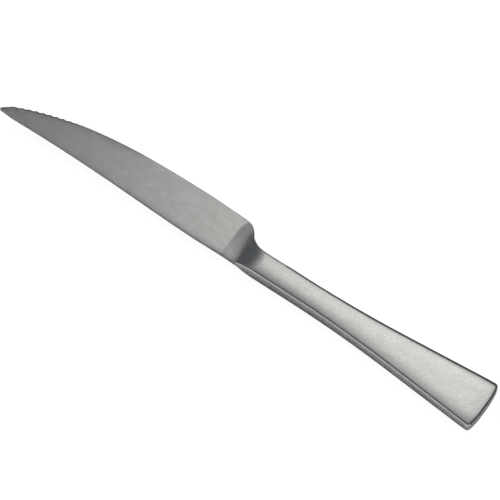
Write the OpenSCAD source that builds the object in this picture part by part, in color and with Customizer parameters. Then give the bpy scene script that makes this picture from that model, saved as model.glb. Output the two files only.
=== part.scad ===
// All-steel steak knife lying on its side: a ground blade whose tang runs back
// into a hollow handle made of two pressed half shells, bedded in cement.
// Knife axes: X runs from the tip to the butt with zero at the blade joint,
// +Y is the side of the cutting edge, and Z is zero on the blade's mid-plane.

/* [Blade] */
// Length from the tip to the joint with the handle
blade_l = 118.1; // [90:0.1:150]
// Width from the spine to the highest point of the belly
blade_w = 19.2; // [15:0.1:26]
// Thickness of the spine in front of the root
spine_t = 2.3; // [1.6:0.1:3]
// Thickness of the spine at the tip
tip_t = 0.9; // [0.6:0.1:1.5]
// Thickness left along the cutting edge
edge_t = 0.4; // [0.2:0.05:0.8]
// Radius of the tip's nose
tip_r = 0.9; // [0.5:0.1:1.5]
// Radius of the heel's corner
heel_r = 7.6; // [5:0.1:7.9]
// How far the edge falls from the belly's top to the heel
heel_fall = 0.5; // [0:0.1:1.5]
// Slope of the notch behind the heel, in degrees
notch_angle = 57; // [50:1:60]
// Radius that runs the notch into the neck
notch_r = 10.2; // [7:0.1:10.5]
// Distance from the joint to where the notch ends on the handle
notch_end = 7.75; // [4:0.05:9]
// Length over which the blade swells towards the joint
swell_l = 7; // [4:0.5:12]
// Thickness at the joint
root_t = 3.2; // [3:0.1:4.5]

/* [Serration] */
// Number of scallops along the edge
scallop_count = 18; // [8:1:24]
// Distance from one scallop to the next
scallop_pitch = 2.77; // [2:0.05:3.2]
// Distance from the tip to the first scallop
scallop_start = 6.05; // [5:0.05:12]
// Radius of the wheel that grinds the scallops
scallop_r = 3.5; // [2:0.1:5]
// Lean of the wheel, which opens the hollows on the upper face, in degrees
scallop_lean = 60; // [40:1:65]
// Depth of the scallops near the tip, measured in the upper face
scallop_depth = 0.95; // [0.4:0.05:1.2]
// Depth of the shallowest scallop
scallop_mid_depth = 0.22; // [0.1:0.02:0.6]
// Depth of the last scallop
scallop_end_depth = 0.4; // [0.1:0.05:0.8]

/* [Tang] */
// Length of the tang inside the handle
tang_l = 58; // [30:1:75]
// Width of the tang at the blade's shoulders
tang_w = 7; // [5:0.1:8]
// Width of the tang at its far end
tang_end_w = 4.4; // [3:0.1:5]
// Thickness of the tang
tang_t = 2; // [1.4:0.1:2.2]
// Clearance round the tang where it passes through the handle's lips
tang_gap = 0.05; // [0.02:0.01:0.1]

/* [Handle] */
// Length from the joint to the butt
handle_l = 117.1; // [95:0.1:140]
// Width of the neck
neck_w = 10.35; // [9.5:0.05:13]
// Width of the butt
butt_w = 22; // [16:0.1:28]
// Distance from the joint to where the sides start to flare
flare_start = 25; // [15:1:35]
// Distance from the joint to where the flare's curve runs out straight
flare_run = 74; // [50:1:85]
// Thickness along the edges at the neck
neck_t = 8.2; // [6.5:0.1:10]
// Thickness along the edges towards the butt
butt_t = 6.8; // [6:0.1:10]
// Length of the ramp from the blade up to the handle's face
ramp_l = 9; // [7:0.5:14]
// Rise of each face from its edges to its middle
crown = 0.45; // [0.1:0.05:0.8]
// Width over which each side of a face rolls down to its edge
crown_roll = 5.2; // [3:0.1:8]
// Radius along the long edges
edge_r = 1.2; // [0.4:0.1:1.4]
// How far the butt's end bows outwards
butt_bow = 0.95; // [0:0.05:2]
// Radius of the butt's rim
butt_r = 1.1; // [0.6:0.1:2]
// Radius of the butt's corners
corner_r = 1.6; // [1:0.1:3]
// How far each face rolls down towards the butt
roll_drop = 0.45; // [0:0.05:0.8]
// Length over which the faces roll down
roll_l = 9; // [6:1:15]
// Wall of the pressed half shells
wall = 0.9; // [0.6:0.1:1.2]
// Solid lip of each half shell behind the joint
lip_l = 5; // [4:0.5:6]
// Wall across the butt
butt_wall = 1.6; // [1.2:0.1:2.5]

/* [Hidden] */
overrun = 1;
steel = [0.70, 0.70, 0.69];
cement_grey = [0.55, 0.53, 0.49];

// Sides of the neck, which the spine runs into
neck_y = neck_w / 2;
spine_y = -neck_y;
belly_y = spine_y + blade_w;
heel_y = belly_y - heel_fall;

// Control points, as shares of the blade's length from the tip and of its
// width up from the spine
edge_shares = [[0.034, 0.289], [0.263, 0.95], [0.57, 1], [0.804, 1]];
spine_shares = [[0.059, 0.051], [0.427, 0.122], [0.68, -0.032], [0.88, -0.008]];
nose_height_share = 0.1;
edge_steps = 44;
spine_steps = 16;
nose_steps = 4;
heel_steps = 8;

function mix(a, b, t) = a + (b - a) * t;

function bezier(p, t) =
    pow(1 - t, 3) * p[0] + 3 * pow(1 - t, 2) * t * p[1]
    + 3 * (1 - t) * t * t * p[2] + pow(t, 3) * p[3];

function blade_point(share) =
    [(share[0] - 1) * blade_l, spine_y + share[1] * blade_w];

function curve(shares, steps) =
    [for (i = [0:steps]) bezier([for (s = shares) blade_point(s)], i / steps)];

function arc(centre, r, from, to, steps) =
    [for (i = [0:steps]) let (a = mix(from, to, i / steps))
        centre + r * [cos(a), sin(a)]];

// The notch: a sloping line between the heel's corner and the neck's fillet
notch_bottom = [notch_end - notch_r * sin(notch_angle),
                neck_y + notch_r * (1 - cos(notch_angle))];
notch_top_y = heel_y - heel_r * (1 - cos(notch_angle));
notch_run = (notch_top_y - notch_bottom[1]) / tan(notch_angle);
heel_centre = [notch_bottom[0] - notch_run - heel_r * sin(notch_angle),
               heel_y - heel_r];

// Height of the notch over the neck's side, at a place behind the joint
function notch_rise(x) =
    let (d = notch_end - x, run = notch_r * sin(notch_angle))
    d <= 0 ? 0
    : d < run ? notch_r - sqrt(notch_r * notch_r - d * d)
    : notch_bottom[1] - neck_y + (d - run) * tan(notch_angle);

nose_centre = [tip_r - blade_l, spine_y + nose_height_share * blade_w];
// Directions in which the nose's arc starts and ends above and below its centre
nose_from = 165;
nose_to = 128;
nose_back = -165;
nose_under = -95;

// Edge and spine as lists of points from the tip back to the joint
edge_line = concat(
    arc(nose_centre, tip_r, nose_from, nose_to, nose_steps),
    curve(edge_shares, edge_steps),
    arc(heel_centre, heel_r, 90, 90 - notch_angle, heel_steps),
    [[0, neck_y + notch_rise(0)]]);
spine_line = concat(
    arc(nose_centre, tip_r, nose_back, nose_under, nose_steps),
    curve(spine_shares, spine_steps),
    [[0, spine_y]]);

// Thickness of the blade: even from the spine to the edge, and swelling towards
// the joint with the distance from it
joint_top_y = neck_y + notch_rise(0);
function thickness(x, y, share) =
    let (spine = mix(spine_t, tip_t, max(0, -x - swell_l) / (blade_l - swell_l)),
         near = max(0, 1 - norm([x, max(0, y - joint_top_y)]) / swell_l))
    mix(mix(spine, edge_t, share), root_t, near * near);

// Rows of points from the spine to the edge
row_count = 6;
function blade_ring(x) =
    let (low = lookup(x, spine_line), high = lookup(x, edge_line))
    mirrored([for (i = [0:row_count]) let (y = mix(low, high, i / row_count))
        [x, y, thickness(x, y, i / row_count) / 2]]);

// Closes the upper half of a ring, from the near side to the far one, with its
// mirror image below the mid-plane
function mirrored(upper) =
    concat(upper, [for (i = [len(upper) - 1:-1:0]) [upper[i][0], upper[i][1], -upper[i][2]]]);

// Solid through a row of mirrored rings of the same number of points. Upright
// strips close each end.
module loft(rings) {
    n = len(rings[0]);
    last = (len(rings) - 1) * n;
    sides = [for (i = [0:n:last - n], j = [0:n - 1])
        let (a = i + j, b = i + (j + 1) % n)
        each [[a, b, b + n], [a, b + n, a + n]]];
    ends = [for (j = [0:n / 2 - 2])
        each [[n - 1 - j, n - 2 - j, j + 1, j],
              [last + j, last + j + 1, last + n - 2 - j, last + n - 1 - j]]];
    polyhedron(points = [for (ring = rings, p = ring) p], faces = concat(sides, ends));
}

// Handle: half width, half thickness and crown at a distance behind the joint
flare_slope = (butt_w - neck_w) / 2 / (handle_l - (flare_start + flare_run) / 2);
function flare(x) =
    x < flare_start ? 0
    : x < flare_run ? flare_slope * pow(x - flare_start, 2) / (flare_run - flare_start) / 2
    : flare_slope * (x - (flare_start + flare_run) / 2);
function near_side(x) = neck_y + flare(x);
function far_side(x) = near_side(x) + notch_rise(x);

taper = (neck_t - butt_t) / 2 / (handle_l - ramp_l);
ramp_rise = (neck_t - root_t) / 2;
function past(x, start, run) = pow(max(0, x - start) / run, 2);
function half_height(x) =
    x < ramp_l
    ? neck_t / 2 - ramp_rise * pow(1 - x / ramp_l, 2)
    : neck_t / 2 - taper * (x - ramp_l) - roll_drop * past(x, handle_l - roll_l, roll_l);
function crown_rise(x) = crown * min(1, x / ramp_l);
function edge_radius(x) = edge_r * mix(joint_edge_share, 1, min(1, x / ramp_l));

// Edge radius at the joint, and the most that the rolled sides take up of a
// narrow face, as shares
joint_edge_share = 0.3;
full_roll_share = 0.65;
rim_steps = 5;
crown_steps = 4;

// How far a rounded rim has drawn in, at a distance in front of the end
function draw_in(d, r) = d < r ? r - sqrt(r * r - pow(r - d, 2)) : 0;

// One side of the upper half section, from the side wall over the rounded edge,
// which runs smoothly into the rolled face
function half_section(width, height, r, rise) =
    let (roll = min(full_roll_share * (width - r), crown_roll), lean = atan(2 * rise / roll))
    concat(
        arc([width - r, height - r / cos(lean)], r, 0, 90 - lean, rim_steps),
        [for (i = [1:crown_steps]) let (t = i / crown_steps)
            [width - r - roll * t, height + rise * (1 - pow(1 - t, 2))]]);

function bow(x, y) = -butt_bow * past(x, handle_l / 2, handle_l / 2) * pow(y / (butt_w / 2), 2);

function shell_ring(x) =
    let (d = handle_l - x, tuck = draw_in(d, corner_r),
         height = half_height(x) - draw_in(d, butt_r), r = edge_radius(x), rise = crown_rise(x),
         near = half_section(near_side(x) - tuck, height, r, rise),
         far = half_section(far_side(x) - tuck, height, r, rise),
         section = concat([for (p = near) [-p[0], p[1]]],
                          [[0, height + rise]],
                          [for (i = [len(far) - 1:-1:0]) far[i]]))
    mirrored([for (p = section) [x + bow(x, p[0]), p[0], p[1]]]);

ramp_steps = 9;
body_steps = 18;
roll_steps = 5;
rim_shares = [for (i = [rim_steps:-1:0]) 1 - cos(90 * i / rim_steps)];
shell_stations = concat(
    [for (i = [0:ramp_steps]) ramp_l * i / ramp_steps],
    [for (i = [1:body_steps]) mix(ramp_l, handle_l - roll_l, i / body_steps)],
    [for (i = [1:roll_steps - 1]) mix(handle_l - roll_l, handle_l - corner_r, i / roll_steps)],
    [for (s = rim_shares) handle_l - corner_r * s]);

// Room inside the handle, between the lips and the butt wall
cavity_end = handle_l - butt_wall - butt_bow;
cavity_steps = 16;
cavity_stations = [for (i = [0:cavity_steps]) mix(lip_l, cavity_end, i / cavity_steps)];

module cavity() {
    plan = concat(
        [for (x = cavity_stations) [x, wall - near_side(x)]],
        [for (i = [cavity_steps:-1:0]) let (x = cavity_stations[i]) [x, near_side(x) - wall]]);
    profile = concat(
        [for (x = cavity_stations) [x, wall - half_height(x)]],
        [for (i = [cavity_steps:-1:0]) let (x = cavity_stations[i]) [x, half_height(x) - wall]]);
    intersection() {
        translate([0, 0, -neck_t]) linear_extrude(2 * neck_t) polygon(plan);
        rotate([90, 0, 0]) linear_extrude(2 * butt_w, center = true) polygon(profile);
    }
}

// The tang's outline, grown all round by a gap
module tang(gap = 0, front = 0) {
    w = tang_w / 2 + gap;
    e = tang_end_w / 2 + gap;
    r = tang_end_w / 4;
    translate([0, 0, -tang_t / 2 - gap]) linear_extrude(tang_t + 2 * gap)
        polygon(concat(
            [[-front, -w], [-front, w]],
            arc([tang_l + gap - r, e - r], r, 90, 0, rim_steps),
            arc([tang_l + gap - r, r - e], r, 0, -90, rim_steps)));
}

// Lays the knife on its handle: turned by the handle's taper, so that the
// underside is level, and lifted onto the ground
lie_angle = atan(taper);
lie_height = (neck_t / 2 + crown + taper * ramp_l) * cos(lie_angle);
far_y = max(belly_y, butt_w / 2);
module lay_down() {
    translate([(blade_l - handle_l) / 2, (butt_w / 2 - far_y) / 2, lie_height])
        rotate([0, lie_angle, 0]) children();
}

// Depth of a scallop in the upper face, by its place in the row as a share
deep_share = 0.24;
shallow_share = 0.59;
function depth(i) = lookup(i / (scallop_count - 1),
    [[deep_share, scallop_depth], [shallow_share, scallop_mid_depth], [1, scallop_end_depth]]);

// One scallop, ground by a leaning wheel that cuts deepest in the upper face
module scallop(i) {
    x = scallop_start - blade_l + i * scallop_pitch;
    reach = scallop_pitch / 2;
    rise = lookup(x + reach, edge_line) - lookup(x - reach, edge_line);
    away = scallop_r / cos(scallop_lean) + edge_t / 2 * tan(scallop_lean) - depth(i);
    half_h = scallop_r * tan(scallop_lean) + spine_t / cos(scallop_lean);
    translate([x, lookup(x, edge_line), 0])
        rotate([0, 0, atan2(rise, scallop_pitch)])
        translate([0, away, 0])
        rotate([scallop_lean, 0, 0])
        cylinder(h = 2 * half_h, r = scallop_r, center = true, $fn = 64);
}

module blade() {
    color(steel) lay_down() {
        difference() {
            loft([for (p = edge_line) blade_ring(p[0])]);
            for (i = [0:scallop_count - 1]) scallop(i);
        }
        tang();
    }
}

// Upper half shell: the handle's outer form above the seam, less the room
// inside and the slot that the tang passes through
module half_shell() {
    difference() {
        loft([for (x = shell_stations) shell_ring(x)]);
        translate([-overrun, -butt_w, -neck_t])
            cube([handle_l + 2 * overrun, 2 * butt_w, neck_t]);
        cavity();
        tang(tang_gap, overrun);
    }
}

module handle_shell_upper() {
    color(steel) lay_down() half_shell();
}

module handle_shell_lower() {
    color(steel) lay_down() mirror([0, 0, 1]) half_shell();
}

// Cement that fills the handle round the tang
module handle_cement() {
    color(cement_grey) lay_down() difference() {
        cavity();
        tang();
    }
}

blade();
handle_shell_upper();
handle_shell_lower();
handle_cement();
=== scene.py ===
import math

import bmesh
import bpy
from mathutils import Matrix, Vector


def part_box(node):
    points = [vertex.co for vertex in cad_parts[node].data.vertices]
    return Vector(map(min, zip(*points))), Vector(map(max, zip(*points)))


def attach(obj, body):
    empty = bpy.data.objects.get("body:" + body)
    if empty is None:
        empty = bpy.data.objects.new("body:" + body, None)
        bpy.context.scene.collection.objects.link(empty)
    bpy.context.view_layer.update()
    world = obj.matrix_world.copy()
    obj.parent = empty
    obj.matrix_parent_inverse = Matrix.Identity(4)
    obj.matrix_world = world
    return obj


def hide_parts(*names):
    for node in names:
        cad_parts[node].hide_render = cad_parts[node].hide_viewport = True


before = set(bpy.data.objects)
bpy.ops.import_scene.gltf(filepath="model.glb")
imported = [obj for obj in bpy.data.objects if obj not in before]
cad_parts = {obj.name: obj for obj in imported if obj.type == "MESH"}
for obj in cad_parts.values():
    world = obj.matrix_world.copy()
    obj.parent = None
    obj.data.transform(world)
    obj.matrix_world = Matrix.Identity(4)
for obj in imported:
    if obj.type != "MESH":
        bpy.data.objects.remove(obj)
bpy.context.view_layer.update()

scene = bpy.context.scene
scene.view_settings.view_transform = "Standard"
mm = 0.001  # pieces are modelled in millimetres on the knife's own axes, then laid down in metres
weld = 1e-3  # corners closer than this are one


# Helpers for working in edit mode
def startPiece(name):
    piece = bpy.context.object
    piece.name = piece.data.name = name
    return piece


def deselectAll():
    if bpy.context.mode != "OBJECT":
        bpy.ops.object.mode_set(mode="OBJECT")
    bpy.ops.object.select_all(action="DESELECT")


def editMesh(piece, mode="VERT"):
    bpy.ops.object.mode_set(mode="EDIT")
    bpy.ops.mesh.select_mode(type=mode)
    bpy.ops.mesh.select_all(action="DESELECT")


def pick(piece, kind, test):  # selects the corners, edges or faces that pass the test
    mesh = bmesh.from_edit_mesh(piece.data)
    bpy.ops.mesh.select_all(action="DESELECT")
    for part in getattr(mesh, kind):
        if test(part):
            part.select_set(True)
    mesh.select_flush_mode()
    bmesh.update_edit_mesh(piece.data)


def pickGrid(piece, wanted):  # selects a sheet's corners by their number
    mesh = bmesh.from_edit_mesh(piece.data)
    mesh.verts.ensure_lookup_table()
    bpy.ops.mesh.select_all(action="DESELECT")
    for number in wanted:
        mesh.verts[number].select_set(True)
    mesh.select_flush_mode()


def stretch(value, centre=(0, 0, 0)):
    bpy.ops.transform.resize(value=value, center_override=centre)


def slide(value):
    bpy.ops.transform.translate(value=value)


def useModifier(piece, kind, **settings):
    step = piece.modifiers.new(kind.title(), kind)
    for key, value in settings.items():
        setattr(step, key, value)
    bpy.ops.object.modifier_apply(modifier=step.name)


def steps(start, end, count):
    return [start + (end - start) * i / count for i in range(count + 1)]


def blendTo(a, b, share):
    return a + (b - a) * share


def midEdge(edge):
    return (edge.verts[0].co + edge.verts[1].co) / 2


def newMaterial(name, settings):  # settings are those of the shader's own sockets
    material = bpy.data.materials.new(name)
    material.use_nodes = True
    shader = material.node_tree.nodes["Principled BSDF"]
    for socket, value in settings.items():
        shader.inputs[socket].default_value = value
    return material, shader


def feed(links, socket, value):  # value is a plain value or another node's output
    if hasattr(value, "links"):
        links.new(value, socket)
    else:
        socket.default_value = value


# Camera, at the photograph's viewing angle: nearly plan, and nearly parallel rays
camera = {
    "azimuth": 34.74,
    "elevation": 66.27,
    "distance": 1.6,
    "lens": 285.6,
    "target": (0.95 * mm, 3.35 * mm, 0.15 * mm),
    "clipEnd": 20,
}


def addCamera(s):
    turn, rise = math.radians(s["azimuth"]), math.radians(s["elevation"])
    back = Vector((math.sin(turn) * math.cos(rise), -math.cos(turn) * math.cos(rise),
                   math.sin(rise)))
    bpy.ops.object.camera_add(location=Vector(s["target"]) + s["distance"] * back,
                              rotation=(math.pi / 2 - rise, 0, turn))
    eye = bpy.context.object
    eye.data.lens = s["lens"]
    eye.data.clip_end = s["clipEnd"]
    scene.camera = eye


addCamera(camera)
print("camera placed")

# Floor: pale and plain, and it takes the knife's shadow
floor = {
    "size": 8,
    "colour": (0.93, 0.93, 0.93, 1),
    "roughness": 0.9,
    "glow": 1.12,  # washes the paper out, for the camera alone
    "glowShare": 0.85,
}


def addFloor(s):
    deselectAll()
    bpy.ops.mesh.primitive_plane_add(size=s["size"], location=(0, 0, 0))
    sheet = startPiece("floor")
    paint, shader = newMaterial("palePaper", {"Base Color": s["colour"], "Specular IOR Level": 0,
                                              "Roughness": s["roughness"]})
    nodes, links = paint.node_tree.nodes, paint.node_tree.links
    glow = nodes.new("ShaderNodeEmission")
    glow.inputs["Strength"].default_value = s["glow"]
    ray = nodes.new("ShaderNodeLightPath")
    share = nodes.new("ShaderNodeMath")
    share.operation = "MULTIPLY"
    share.inputs[1].default_value = s["glowShare"]
    blend = nodes.new("ShaderNodeMixShader")
    links.new(ray.outputs["Is Camera Ray"], share.inputs[0])
    links.new(share.outputs[0], blend.inputs["Fac"])
    links.new(shader.outputs[0], blend.inputs[1])
    links.new(glow.outputs[0], blend.inputs[2])
    links.new(blend.outputs[0], nodes["Material Output"].inputs["Surface"])
    sheet.data.materials.append(paint)


addFloor(floor)

# Light: soft boxes behind and over the knife, a broad light for the floor, and a dim room
# with a pale strip along the horizon. Each box is given by its corners over the floor.
softBoxes = (
    {"name": "farLeftBox", "low": (-0.34, 0.08), "high": (-0.21, 0.6), "strength": 0.32},
    {"name": "leftBox", "low": (-0.21, 0.08), "high": (-0.105, 0.6), "strength": 0.95},
    {"name": "mainBox", "low": (-0.105, 0.08), "high": (0.15, 0.6), "strength": 1.5},
    {"name": "rightBox", "low": (0.21, 0.08), "high": (0.38, 0.6), "strength": 1.2},
)
boxHeight = 0.52
boxColour = (1, 0.99, 0.96)
floorLight = {"tilt": 45, "turn": -35, "spread": 60, "strength": 3.6}

# Dark cards behind the knife, hidden from the camera, that its far edge mirrors. Each is given by
# its ends on the floor, in millimetres.
cards = (
    ((-128, 0), (-107, 7)),
    ((-107, 7), (-85, 12.5)),
    ((-85, 12.5), (-58, 16)),
    ((18, 8.2), (60, 7.4)),
    ((60, 7.4), (122, 12.3)),
    ((122, 12.3), (122, -12)),
)
cardHeight = 13
cardColour = (0.01, 0.01, 0.01, 1)
cardGlow = (0.07, 0.07, 0.074, 1)  # keeps the knife's back from going black
room = {
    "dim": (0.124, 0.132, 0.144),
    "pale": (2.2, 2.2, 2.16),
    "frontShare": 0.25,
    "stripFrom": 0.32,
    "stripTo": 0.04,
    "front": (0.35, -0.94, 0),
    "frontFrom": -0.1,
    "frontTo": 0.6,
    "side": (0.60, 0.80, 0),
    "sideFrom": 0.62,
    "sideTo": 0.93,
}


def addLights(boxes, s):
    for box in boxes:
        wide, deep = box["high"][0] - box["low"][0], box["high"][1] - box["low"][1]
        middle = (box["low"][0] + wide / 2, box["low"][1] + deep / 2, boxHeight)
        bpy.ops.object.light_add(type="AREA", location=middle)
        lamp = bpy.context.object
        lamp.name = box["name"]
        lamp.data.shape = "RECTANGLE"
        lamp.data.size, lamp.data.size_y = wide, deep
        lamp.data.energy = box["strength"] * math.pi * wide * deep
        lamp.data.color = boxColour
    bpy.ops.object.light_add(type="SUN", location=(0, 0, 1))
    sun = bpy.context.object
    sun.name = "floorLight"
    sun.rotation_euler = (-math.radians(s["tilt"]), 0, -math.radians(s["turn"]))
    sun.data.angle = math.radians(s["spread"])
    sun.data.energy = s["strength"]
    sun.visible_glossy = False


def addCards(ends):
    paint, shader = newMaterial("darkCard", {"Base Color": cardColour, "Roughness": 1,
                                             "Specular IOR Level": 0, "Emission Color": cardGlow,
                                             "Emission Strength": 1})
    for number, (start, end) in enumerate(ends):
        start, end = Vector(start) * mm, Vector(end) * mm
        deselectAll()
        bpy.ops.mesh.primitive_plane_add(size=1, location=(0, 0, 0))
        card = startPiece("card_%d" % number)
        along = end - start
        card.matrix_world = (Matrix.Translation((*(start + end) / 2, cardHeight * mm / 2))
                             @ Matrix.Rotation(math.atan2(along.y, along.x), 4, "Z")
                             @ Matrix.Rotation(math.pi / 2, 4, "X")
                             @ Matrix.Diagonal((along.length, cardHeight * mm, 1, 1)))
        bpy.ops.object.transform_apply(location=True, rotation=True, scale=True)
        card.data.materials.append(paint)
        card.visible_camera = card.visible_diffuse = False


def fillRoom(s):
    world = scene.world or bpy.data.worlds.new("room")
    scene.world = world
    world.use_nodes = True
    nodes, links = world.node_tree.nodes, world.node_tree.links
    nodes.clear()
    out = nodes.new("ShaderNodeOutputWorld")
    light = nodes.new("ShaderNodeBackground")
    coord = nodes.new("ShaderNodeTexCoord")
    split = nodes.new("ShaderNodeSeparateXYZ")
    links.new(coord.outputs["Generated"], split.inputs[0])

    def window(value, start, end):
        ramp = nodes.new("ShaderNodeMapRange")
        ramp.interpolation_type = "SMOOTHSTEP"
        ramp.inputs["From Min"].default_value = start
        ramp.inputs["From Max"].default_value = end
        links.new(value, ramp.inputs["Value"])
        return ramp.outputs["Result"]

    def towards(direction, start, end):
        dot = nodes.new("ShaderNodeVectorMath")
        dot.operation = "DOT_PRODUCT"
        dot.inputs[1].default_value = direction
        links.new(coord.outputs["Generated"], dot.inputs[0])
        return window(dot.outputs["Value"], start, end)

    def combine(operation, a, b):
        sums = nodes.new("ShaderNodeMath")
        sums.operation = operation
        feed(links, sums.inputs[0], a)
        feed(links, sums.inputs[1], b)
        return sums.outputs[0]

    strip = window(split.outputs["Z"], s["stripFrom"], s["stripTo"])
    front = combine("MULTIPLY", towards(s["front"], s["frontFrom"], s["frontTo"]), s["frontShare"])
    side = towards(s["side"], s["sideFrom"], s["sideTo"])
    share = combine("MULTIPLY", strip, combine("MAXIMUM", front, side))
    mix = nodes.new("ShaderNodeMix")
    mix.data_type = "RGBA"
    mix.inputs["A"].default_value = (*s["dim"], 1)
    mix.inputs["B"].default_value = (*s["pale"], 1)
    links.new(share, mix.inputs["Factor"])
    links.new(mix.outputs["Result"], light.inputs["Color"])
    links.new(light.outputs[0], out.inputs[0])


addLights(softBoxes, floorLight)
addCards(cards)
fillRoom(room)
print("lights placed")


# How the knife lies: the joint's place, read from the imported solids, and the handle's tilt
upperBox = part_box("handle_shell_upper")
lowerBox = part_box("handle_shell_lower")

handle = {
    "length": 117.1,
    "neckWidth": 10.35,
    "buttWidth": 22,
    "flareStart": 25,
    "flareRun": 74,
    "neckThickness": 8.44,
    "buttThickness": 7.04,
    "rampLength": 9.8,
    "crown": 0.33,
    "crownRoll": 5.2,  # width over which each side rolls down
    "rollMost": 0.96,  # most of a side that may roll down
    "edgeRadius": (0.85, 1.5),  # by the spine's side and by the cutting edge's side
    "jointEdge": 0.3,  # share of the edge radius that is left at the joint
    "buttBow": 0.95,
    "buttRadius": 0.75,
    "cornerRadius": 1.6,
    "rollDrop": 0.45,
    "rollLength": 9,
    "wall": 0.9,
    "crownRows": (0, 0.17, 0.33, 0.5, 0.65, 0.8, 0.92),
    "edgeTurns": (0, 14, 28, 42, 56, 70, 84),
    "rampSteps": 18,
    "bodySteps": 50,
    "rollSteps": 6,
    "cornerSteps": 9,
}

blade = {
    "length": 118.05,
    "width": 19.2,
    "spineThickness": 2.3,
    "tipThickness": 0.9,
    "edgeThickness": 0.4,
    "rootThickness": 3.2,
    "swellLength": 7,
    "swellEven": 0.75,  # share of the swelling that rises evenly, the rest late
    "swellPower": 5,
    "noseRadius": 0.8,
    "noseHeight": 0.109,
    "noseToEdge": 128,  # degrees at which the nose meets the edge, and the spine
    "noseToSpine": 250,
    "heelRadius": 7.6,
    "heelFall": 0.5,
    "notchAngle": 57,
    "notchRadius": 10.2,
    "notchEnd": 7.75,
    "edgeCurve": ((0.034, 0.294), (0.263, 0.978), (0.57, 1), (0.804, 1)),
    "spineCurve": ((0.059, 0.051), (0.427, 0.122), (0.68, -0.032), (0.88, -0.008)),
    "spineRoll": 0.15,  # share of the width that rolls down to the spine
    "rollDrop": 0.25,  # as a share of the taper from spine to edge
    "rows": (0, 0.02, 0.045, 0.075, 0.11, 0.15, 0.21, 0.3, 0.4, 0.5, 0.6, 0.7, 0.8, 0.88, 0.95, 1),
    "bevelWidth": 0.22,
    "plainBevel": 0.28,
    "bevelThickness": 0.1,
    "rimRound": 0.5,
    "rimAngle": 40,
    "spineShare": 0.5,  # the spine's rim is rounded by this share
    "tangStart": -2,
    "tangLength": 58,
    "tangWidth": 7,
    "tangEndWidth": 4.4,
    "tangThickness": 2,
    "tipRun": 6,  # lengths of closely set stations at the tip and before the joint
    "heelRun": 22,
    "noseSteps": 6,
    "tipSteps": 14,
    "middleSteps": 96,
    "heelSteps": 44,
    "curveSteps": 60,
}

scallops = {
    "count": 18,
    "pitch": 2.77,
    "start": 6.05,
    "radius": 3.5,
    "lean": 60,
    "depths": (0.85, 1.05, 1.05, 0.55, 0.5),  # in the upper face, at the places below
    "places": (0, 4, 6, 10, 17),
    "wheelSides": 128,
    "wheelDepth": 20,
}

neckSide = handle["neckWidth"] / 2
spineSide = -neckSide
bellySide = spineSide + blade["width"]
heelSide = bellySide - blade["heelFall"]
taper = ((handle["neckThickness"] - handle["buttThickness"]) / 2
         / (handle["length"] - handle["rampLength"]))
joint = Vector((upperBox[0][0], (upperBox[0][1] + upperBox[1][1]) / 2, lowerBox[1][2]))


def layDown(piece):
    deselectAll()
    piece.select_set(True)
    bpy.context.view_layer.objects.active = piece
    piece.matrix_world = (Matrix.Translation(joint) @ Matrix.Rotation(math.atan(taper), 4, "Y")
                          @ Matrix.Scale(mm, 4))
    bpy.ops.object.transform_apply(location=True, rotation=True, scale=True)


# Outlines of the knife, in plan
def past(x, start, run):
    return (max(0, x - start) / run) ** 2


def flare(x, s=handle):
    slope = ((s["buttWidth"] - s["neckWidth"]) / 2
             / (s["length"] - (s["flareStart"] + s["flareRun"]) / 2))
    if x < s["flareStart"]:
        return 0
    if x < s["flareRun"]:
        return slope * (x - s["flareStart"]) ** 2 / (s["flareRun"] - s["flareStart"]) / 2
    return slope * (x - (s["flareStart"] + s["flareRun"]) / 2)


def notchRise(x, s=blade):
    behind = s["notchEnd"] - x
    angle = math.radians(s["notchAngle"])
    reach = s["notchRadius"] * math.sin(angle)
    if behind <= 0:
        return 0
    if behind < reach:
        return s["notchRadius"] - math.sqrt(s["notchRadius"] ** 2 - behind ** 2)
    return s["notchRadius"] * (1 - math.cos(angle)) + (behind - reach) * math.tan(angle)


def halfHeight(x, s=handle):
    if x < s["rampLength"]:
        rise = (s["neckThickness"] - blade["rootThickness"]) / 2
        return s["neckThickness"] / 2 - rise * (1 - x / s["rampLength"]) ** 2
    return (s["neckThickness"] / 2 - taper * (x - s["rampLength"])
            - s["rollDrop"] * past(x, s["length"] - s["rollLength"], s["rollLength"]))


def bezier(points, t):
    weights = ((1 - t) ** 3, 3 * (1 - t) ** 2 * t, 3 * (1 - t) * t * t, t ** 3)
    return sum((w * p for w, p in zip(weights, points)), Vector((0, 0)))


def bladeCurve(shares, s=blade):
    points = [Vector(((a - 1) * s["length"], spineSide + b * s["width"])) for a, b in shares]
    return [bezier(points, t) for t in steps(0, 1, s["curveSteps"])]


def arc(centre, radius, start, end, count):
    turns = [math.radians(a) for a in steps(start, end, count)]
    return [Vector((centre[0] + radius * math.cos(a), centre[1] + radius * math.sin(a)))
            for a in turns]


def heelCentre(s=blade):
    angle = math.radians(s["notchAngle"])
    bottomX = s["notchEnd"] - s["notchRadius"] * math.sin(angle)
    bottomY = neckSide + s["notchRadius"] * (1 - math.cos(angle))
    topY = heelSide - s["heelRadius"] * (1 - math.cos(angle))
    x = bottomX - (topY - bottomY) / math.tan(angle) - s["heelRadius"] * math.sin(angle)
    return Vector((x, heelSide - s["heelRadius"]))


noseCentre = Vector((blade["noseRadius"] - blade["length"],
                     spineSide + blade["noseHeight"] * blade["width"]))
heelStart = heelCentre()
edgeLine = (arc(noseCentre, blade["noseRadius"], 180, blade["noseToEdge"], 10)
            + bladeCurve(blade["edgeCurve"])
            + arc(heelStart, blade["heelRadius"], 90, 90 - blade["notchAngle"], 12)
            + [Vector((0, neckSide + notchRise(0)))])
spineLine = (arc(noseCentre, blade["noseRadius"], 180, blade["noseToSpine"], 10)
             + bladeCurve(blade["spineCurve"]) + [Vector((0, spineSide))])


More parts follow.
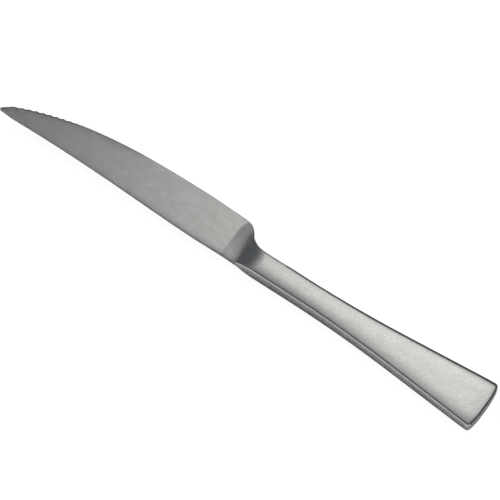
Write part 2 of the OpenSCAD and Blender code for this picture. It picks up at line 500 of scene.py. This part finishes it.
def heightAt(line, x):
    for a, b in zip(line, line[1:]):
        if a.x <= x <= b.x:
            return blendTo(a.y, b.y, (x - a.x) / (b.x - a.x))
    return line[0].y if x < line[0].x else line[-1].y


jointTop = neckSide + notchRise(0)


def rollAt(share, s=blade):
    return s["rollDrop"] * max(0, 1 - share / s["spineRoll"]) ** 2


def bladeHalf(x, y, s=blade):  # half thickness: ruled from spine to edge, swelling to the joint
    low, high = heightAt(spineLine, x), heightAt(edgeLine, x)
    toTip = min(1, max(0, -x - s["swellLength"]) / (s["length"] - s["swellLength"]))
    spine = blendTo(s["spineThickness"], s["tipThickness"], toTip)
    away = math.hypot(x, max(0, y - jointTop)) / s["swellLength"]
    share = min(1, max(0, (y - low) / max(high - low, 0.01)))
    near = max(0, 1 - away)
    swell = s["swellEven"] * near + (1 - s["swellEven"]) * near ** s["swellPower"]
    ruled = blendTo(spine, s["edgeThickness"], share + rollAt(share))
    return blendTo(ruled, s["rootThickness"], swell) / 2


# Steel, with a satin grain along the knife and soft clouds, and a painted shade that darkens its
# upright walls
def satinSteelWithPaintedShade(name, s):
    material, shader = newMaterial(name, {"Metallic": 1, "Anisotropic": s["anisotropy"]})
    nodes, links = material.node_tree.nodes, material.node_tree.links
    coord = nodes.new("ShaderNodeTexCoord")

    def noise(size, detail, roughness):
        place = nodes.new("ShaderNodeMapping")
        place.inputs["Rotation"].default_value = (0, 0, math.radians(s["grainTurn"]))
        place.inputs["Scale"].default_value = [1 / (mm * side) for side in size]
        texture = nodes.new("ShaderNodeTexNoise")
        texture.inputs["Scale"].default_value = 1
        texture.inputs["Detail"].default_value = detail
        texture.inputs["Roughness"].default_value = roughness
        links.new(coord.outputs["Object"], place.inputs["Vector"])
        links.new(place.outputs["Vector"], texture.inputs["Vector"])
        return texture.outputs["Fac"]

    def ranged(value, low, high, fromLow=0.3, fromHigh=0.7):
        ramp = nodes.new("ShaderNodeMapRange")
        ramp.inputs["From Min"].default_value = fromLow
        ramp.inputs["From Max"].default_value = fromHigh
        ramp.inputs["To Min"].default_value = low
        ramp.inputs["To Max"].default_value = high
        links.new(value, ramp.inputs["Value"])
        return ramp.outputs["Result"]

    def mixColours(factor, a, b):
        mix = nodes.new("ShaderNodeMix")
        mix.data_type = "RGBA"
        for socket, value in (("Factor", factor), ("A", a), ("B", b)):
            feed(links, mix.inputs[socket], value)
        return mix.outputs["Result"]

    grain = noise(s["grain"], detail=3, roughness=0.6)
    clouds = noise(s["clouds"], detail=4, roughness=0.55)
    tone = mixColours(ranged(clouds, 0, 1), s["dark"], s["light"])
    tone = mixColours(ranged(grain, 0, s["grainShare"]), tone, s["dark"])
    # Painted shade: where the surface stands upright, the tone blends to a darker colour that
    # stands in for the dark surroundings the walls mirror
    facing = nodes.new("ShaderNodeSeparateXYZ")
    links.new(coord.outputs["Normal"], facing.inputs[0])
    upright = nodes.new("ShaderNodeMath")
    upright.operation = "ABSOLUTE"
    links.new(facing.outputs["Z"], upright.inputs[0])
    tone = mixColours(ranged(upright.outputs[0], 1, 0, *s["paintedShadeRange"]), tone, s["side"])
    links.new(tone, shader.inputs["Base Color"])
    links.new(ranged(grain, *s["roughness"]), shader.inputs["Roughness"])
    bump = nodes.new("ShaderNodeBump")
    bump.inputs["Strength"].default_value = 1
    bump.inputs["Distance"].default_value = s["grainHeight"] * mm
    links.new(grain, bump.inputs["Height"])
    links.new(bump.outputs["Normal"], shader.inputs["Normal"])
    tangent = nodes.new("ShaderNodeTangent")
    tangent.direction_type = "RADIAL"
    tangent.axis = "X"
    links.new(tangent.outputs["Tangent"], shader.inputs["Tangent"])
    return material


bladeSteel = satinSteelWithPaintedShade("satinBladeSteel", {
    "dark": (0.463, 0.463, 0.453, 1),
    "light": (0.583, 0.583, 0.573, 1),
    # painted shade: the blade's upright walls take this much darker colour in place of the dark
    # surroundings they mirror
    "side": (0.27, 0.27, 0.27, 1),  # where the surface stands upright
    "paintedShadeRange": (0.12, 0.32),
    "roughness": (0.30, 0.38),
    "anisotropy": 0.5,
    "grain": (2.6, 0.36, 0.36),
    "grainTurn": 21,
    "grainShare": 1,
    "grainHeight": 0.002,
    "clouds": (6, 3, 3),
})
handleSteel = satinSteelWithPaintedShade("satinHandleSteel", {
    "dark": (0.5, 0.5, 0.49, 1),
    "light": (0.57, 0.57, 0.56, 1),
    # painted shade for the upright walls, here close to the top's own tone
    "side": (0.54, 0.54, 0.54, 1),
    "paintedShadeRange": (0.12, 0.32),
    "roughness": (0.26, 0.34),
    "anisotropy": 0.5,
    "grain": (1.3, 0.5, 0.5),
    "grainTurn": 0,
    "grainShare": 0.8,
    "grainHeight": 0.0007,
    "clouds": (5, 4, 4),
})


# Blade: one sheet shaped station by station from the nose to the joint, its edges turned down
# to the mid-plane, mirrored below, and ground with the scallops
def bladeStations(s=blade):
    nose = [-s["length"] + s["noseRadius"] * (1 - math.cos(math.radians(a)))
            for a in steps(0, 90, s["noseSteps"])]
    tipEnd = -s["length"] + s["tipRun"]
    return (nose[:-1] + steps(nose[-1], tipEnd, s["tipSteps"])[:-1]
            + steps(tipEnd, -s["heelRun"], s["middleSteps"])[:-1]
            + steps(-s["heelRun"], 0, s["heelSteps"]))


def bevelAt(x, s=blade):
    plain = scallops["start"] + scallops["count"] * scallops["pitch"] - s["length"]
    width = s["bevelWidth"] if x < plain else s["plainBevel"]
    return min(width, 0.3 * (heightAt(edgeLine, x) - heightAt(spineLine, x)))


def shapeBlade(s=blade):
    places, rows = bladeStations(), s["rows"] + (1,)
    across, along = len(rows), len(places)
    bpy.ops.mesh.primitive_grid_add(x_subdivisions=along - 1, y_subdivisions=across - 1, size=2,
                                    location=(0, 0, 0))
    piece = startPiece("ground_blade")
    editMesh(piece)
    for row, share in enumerate(rows):
        pickGrid(piece, range(row * along, (row + 1) * along))
        slide((0, share - blendTo(-1, 1, row / (across - 1)), 1 - share - rollAt(share)))
    for column, x in enumerate(places):
        low, high, bevel = heightAt(spineLine, x), heightAt(edgeLine, x), bevelAt(x)
        pickGrid(piece, range(column, across * along, along))
        spine, edge = bladeHalf(x, low), bladeHalf(x, high - bevel)
        flat = x < -s["swellLength"]
        stretch((1, high - bevel - low, (spine - edge) / (1 - rollAt(0)) if flat else 1))
        slide((x - blendTo(-1, 1, column / (along - 1)), low, edge if flat else 0))
        if not flat:  # the swelling at the joint bends each station
            for row, share in enumerate(rows):
                pickGrid(piece, [row * along + column])
                half = bladeHalf(x, low + (high - bevel - low) * share)
                slide((0, 0, half - (1 - share - rollAt(share))))
        pickGrid(piece, [(across - 1) * along + column])
        drop = min(0, s["bevelThickness"] / 2 - bladeHalf(x, high)) if x < heelStart.x else 0
        slide((0, bevel, drop))
    bpy.ops.mesh.select_mode(type="EDGE")
    pick(piece, "edges", lambda e: e.is_boundary and midEdge(e).x < -1e-4)
    bpy.ops.mesh.extrude_region_move()
    stretch((1, 1, 0))
    bpy.ops.mesh.select_all(action="SELECT")
    bpy.ops.mesh.remove_doubles(threshold=weld)
    bpy.ops.object.mode_set(mode="OBJECT")
    roundRims(piece, s)
    useModifier(piece, "MIRROR", use_axis=(False, False, True), merge_threshold=weld)
    editMesh(piece, "EDGE")
    pick(piece, "edges", lambda e: e.is_boundary)
    bpy.ops.mesh.edge_face_add()
    bpy.ops.mesh.select_all(action="SELECT")
    bpy.ops.mesh.normals_make_consistent(inside=False)
    bpy.ops.object.mode_set(mode="OBJECT")
    return piece


def roundRims(piece, s):  # rounds the spine's rim and the notch's, leaving the mid-plane's edges
    piece.data.update()
    weights = piece.data.attributes.new("bevel_weight_edge", "FLOAT", "EDGE")
    mesh = bmesh.new()
    mesh.from_mesh(piece.data)
    for edge in mesh.edges:
        middle = midEdge(edge)
        if len(edge.link_faces) != 2 or min(v.co.z for v in edge.verts) < 0.05:
            continue
        if edge.calc_face_angle(0) > math.radians(s["rimAngle"]):
            onNotch = middle.y > 0 and middle.x > heelStart.x
            onSpine = (middle.y < heightAt(spineLine, middle.x) + 0.1
                       and middle.x > 1 - s["length"])
            if onNotch or onSpine:
                weights.data[edge.index].value = 1 if onNotch else s["spineShare"]
    mesh.free()
    useModifier(piece, "BEVEL", limit_method="WEIGHT", width=s["rimRound"], segments=4)


def addTang(piece, s=blade):
    deselectAll()
    start, end = s["tangStart"], s["tangLength"]
    bpy.ops.mesh.primitive_cube_add(size=1, location=((start + end) / 2, 0, 0),
                                    scale=(end - start, s["tangWidth"], s["tangThickness"]))
    tang = startPiece("tang")
    bpy.ops.object.transform_apply(location=True, rotation=True, scale=True)
    editMesh(tang, "FACE")
    pick(tang, "faces", lambda f: f.normal.x > 0.5)
    stretch((1, s["tangEndWidth"] / s["tangWidth"], 1))
    bpy.ops.object.mode_set(mode="OBJECT")
    useModifier(tang, "BEVEL", width=s["tangThickness"] / 3, segments=3)
    joinSolid(piece, tang, "UNION")


def joinSolid(piece, tool, operation):
    deselectAll()
    bpy.context.view_layer.objects.active = piece
    useModifier(piece, "BOOLEAN", object=tool, operation=operation, solver="MANIFOLD")
    bpy.data.objects.remove(tool)


def scallopDepth(i, s=scallops):  # runs smoothly through the given depths
    for a, b, deep, shallow in zip(s["places"], s["places"][1:], s["depths"], s["depths"][1:]):
        if a <= i <= b:
            return blendTo(deep, shallow, (1 - math.cos(math.pi * (i - a) / (b - a))) / 2)


def grindScallops(piece, s=scallops):
    lean = math.radians(s["lean"])
    for i in range(s["count"]):
        x = s["start"] - blade["length"] + i * s["pitch"]
        reach = s["pitch"] / 2
        rise = heightAt(edgeLine, x + reach) - heightAt(edgeLine, x - reach)
        away = (s["radius"] / math.cos(lean) + blade["edgeThickness"] / 2 * math.tan(lean)
                - scallopDepth(i))
        deselectAll()
        bpy.ops.mesh.primitive_cylinder_add(vertices=s["wheelSides"], radius=s["radius"],
                                            depth=s["wheelDepth"], location=(0, 0, 0))
        wheel = bpy.context.object
        wheel.matrix_world = (Matrix.Translation((x, heightAt(edgeLine, x), 0))
                              @ Matrix.Rotation(math.atan2(rise, s["pitch"]), 4, "Z")
                              @ Matrix.Translation((0, away, 0)) @ Matrix.Rotation(lean, 4, "X"))
        bpy.ops.object.transform_apply(location=True, rotation=True, scale=True)
        joinSolid(piece, wheel, "DIFFERENCE")


def finishPiece(piece, angle, material):
    deselectAll()
    piece.select_set(True)
    bpy.context.view_layer.objects.active = piece
    bpy.ops.object.shade_smooth_by_angle(angle=math.radians(angle))
    piece.data.materials.clear()
    piece.data.materials.append(material)
    layDown(piece)


bladePiece = shapeBlade()
addTang(bladePiece)
grindScallops(bladePiece)
finishPiece(bladePiece, 25, bladeSteel)
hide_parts("blade")
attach(bladePiece, "root")
print("blade ground:", len(bladePiece.data.polygons), "faces")


# Handle: each half shell is pressed from a sheet, its sides turned down to the seam, its rim
# rounded, and given its wall
def shellStations(s=handle):
    end = s["length"]
    ramp, rollFrom, cornerFrom = s["rampLength"], end - s["rollLength"], end - s["cornerRadius"]
    corner = [end - s["cornerRadius"] * (1 - math.cos(math.radians(a)))
              for a in steps(90, 0, s["cornerSteps"])]
    return (steps(0, ramp, s["rampSteps"])[:-1] + steps(ramp, rollFrom, s["bodySteps"])[:-1]
            + steps(rollFrom, cornerFrom, s["rollSteps"])[:-1] + corner)


def drawIn(x, radius, s=handle):  # how far a rounded end has drawn in
    before = s["length"] - x
    return radius - math.sqrt(radius ** 2 - (radius - before) ** 2) if before < radius else 0


def shellRows(s=handle):  # each row's side, place across and height on a section of unit size
    foot = [("foot", 1, 0), ("edge", 1, -0.5)]
    edge = [("edge", math.cos(math.radians(a)), math.sin(math.radians(a))) for a in s["edgeTurns"]]
    top = [("top", share, 1 - share ** 2) for share in reversed(s["crownRows"])]
    far = foot + edge + top
    return ([(kind, -1, -y, z) for kind, y, z in far]
            + [(kind, 1, y, z) for kind, y, z in reversed(far)])


def pressShell(name, s=handle):
    rows, places = shellRows(), shellStations()
    across, along = len(rows), len(places)
    bpy.ops.mesh.primitive_grid_add(x_subdivisions=along - 1, y_subdivisions=across - 1, size=2,
                                    location=(0, 0, 0))
    piece = startPiece(name)
    editMesh(piece)
    for row, (kind, side, y, z) in enumerate(rows):
        pickGrid(piece, range(row * along, (row + 1) * along))
        slide((0, y - blendTo(-1, 1, row / (across - 1)), z))
    for column, x in enumerate(places):
        start = blendTo(-1, 1, column / (along - 1))
        upRamp = min(1, x / s["rampLength"])
        height = halfHeight(x) - drawIn(x, s["buttRadius"])
        rise = s["crown"] * upRamp
        for side in (-1, 1):
            width = neckSide + flare(x) + notchRise(x) * (side > 0) - drawIn(x, s["cornerRadius"])
            radius = s["edgeRadius"][side > 0] * blendTo(s["jointEdge"], 1, upRamp)
            flat = width - radius
            roll = min(s["rollMost"] * flat, s["crownRoll"])
            lean = math.atan(2 * rise / roll)
            middle = height - radius / math.cos(lean)
            chosen = {kind: [row * along + column for row, (k, at, y, z) in enumerate(rows)
                             if k == kind and at == side]
                      for kind in ("foot", "edge", "top")}
            pickGrid(piece, chosen["foot"])
            slide((x - start, side * (width - 1), 0))
            pickGrid(piece, chosen["edge"])
            stretch((1, radius, radius), (start, 0, 0))
            slide((x - start, side * flat, middle))
            pickGrid(piece, chosen["top"])
            stretch((1, roll, rise), (start, 0, 0))
            slide((x - start, side * (flat - roll), height))
        bow = s["buttBow"] * past(x, s["length"] / 2, s["length"] / 2)
        if bow > 0:
            for row in range(across):
                spot = row * along + column
                pickGrid(piece, [spot])
                away = bmesh.from_edit_mesh(piece.data).verts[spot].co.y / (s["buttWidth"] / 2)
                slide((-bow * away ** 2, 0, 0))
    buttFrom = s["length"] - 1.5 * s["buttBow"] - 0.1
    bpy.ops.mesh.select_mode(type="EDGE")
    pick(piece, "edges", lambda e: e.is_boundary and midEdge(e).x > buttFrom
         and min(v.co.z for v in e.verts) > 0.1)
    bpy.ops.mesh.extrude_region_move()
    stretch((1, 1, 0))
    bpy.ops.mesh.select_all(action="SELECT")
    bpy.ops.mesh.remove_doubles(threshold=weld)
    bpy.ops.mesh.normals_make_consistent(inside=False)
    bpy.ops.object.mode_set(mode="OBJECT")
    useModifier(piece, "SOLIDIFY", thickness=s["wall"], offset=-1)
    return piece


def turnOver(piece, name):  # the other half shell is the mirror image
    deselectAll()
    piece.select_set(True)
    bpy.context.view_layer.objects.active = piece
    bpy.ops.object.duplicate()
    other = startPiece(name)
    editMesh(other)
    bpy.ops.mesh.select_all(action="SELECT")
    stretch((1, 1, -1))
    bpy.ops.mesh.flip_normals()
    bpy.ops.object.mode_set(mode="OBJECT")
    return other


deselectAll()
shellUpper = pressShell("shell_upper")
shellLower = turnOver(shellUpper, "shell_lower")
for shell, node in ((shellUpper, "handle_shell_upper"), (shellLower, "handle_shell_lower")):
    finishPiece(shell, 35, handleSteel)
    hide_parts(node)
    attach(shell, "root")
    print(shell.name, "pressed:", len(shell.data.polygons), "faces")


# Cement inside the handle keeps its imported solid
cement = {
    "dark": (0.40, 0.38, 0.34, 1),
    "light": (0.66, 0.64, 0.59, 1),
    "roughness": 0.85,
    "sandScale": 1800,
}


def sandyCement(s):
    material, shader = newMaterial("sandyCement", {"Roughness": s["roughness"]})
    nodes, links = material.node_tree.nodes, material.node_tree.links
    coord = nodes.new("ShaderNodeTexCoord")
    sand = nodes.new("ShaderNodeTexNoise")
    sand.inputs["Scale"].default_value = s["sandScale"]
    links.new(coord.outputs["Object"], sand.inputs["Vector"])
    tones = nodes.new("ShaderNodeValToRGB")
    tones.color_ramp.elements[0].color = s["dark"]
    tones.color_ramp.elements[1].color = s["light"]
    links.new(sand.outputs["Fac"], tones.inputs["Fac"])
    links.new(tones.outputs["Color"], shader.inputs["Base Color"])
    return material


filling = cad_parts["handle_cement"]
filling.data.materials.clear()
filling.data.materials.append(sandyCement(cement))
print("cement filled")
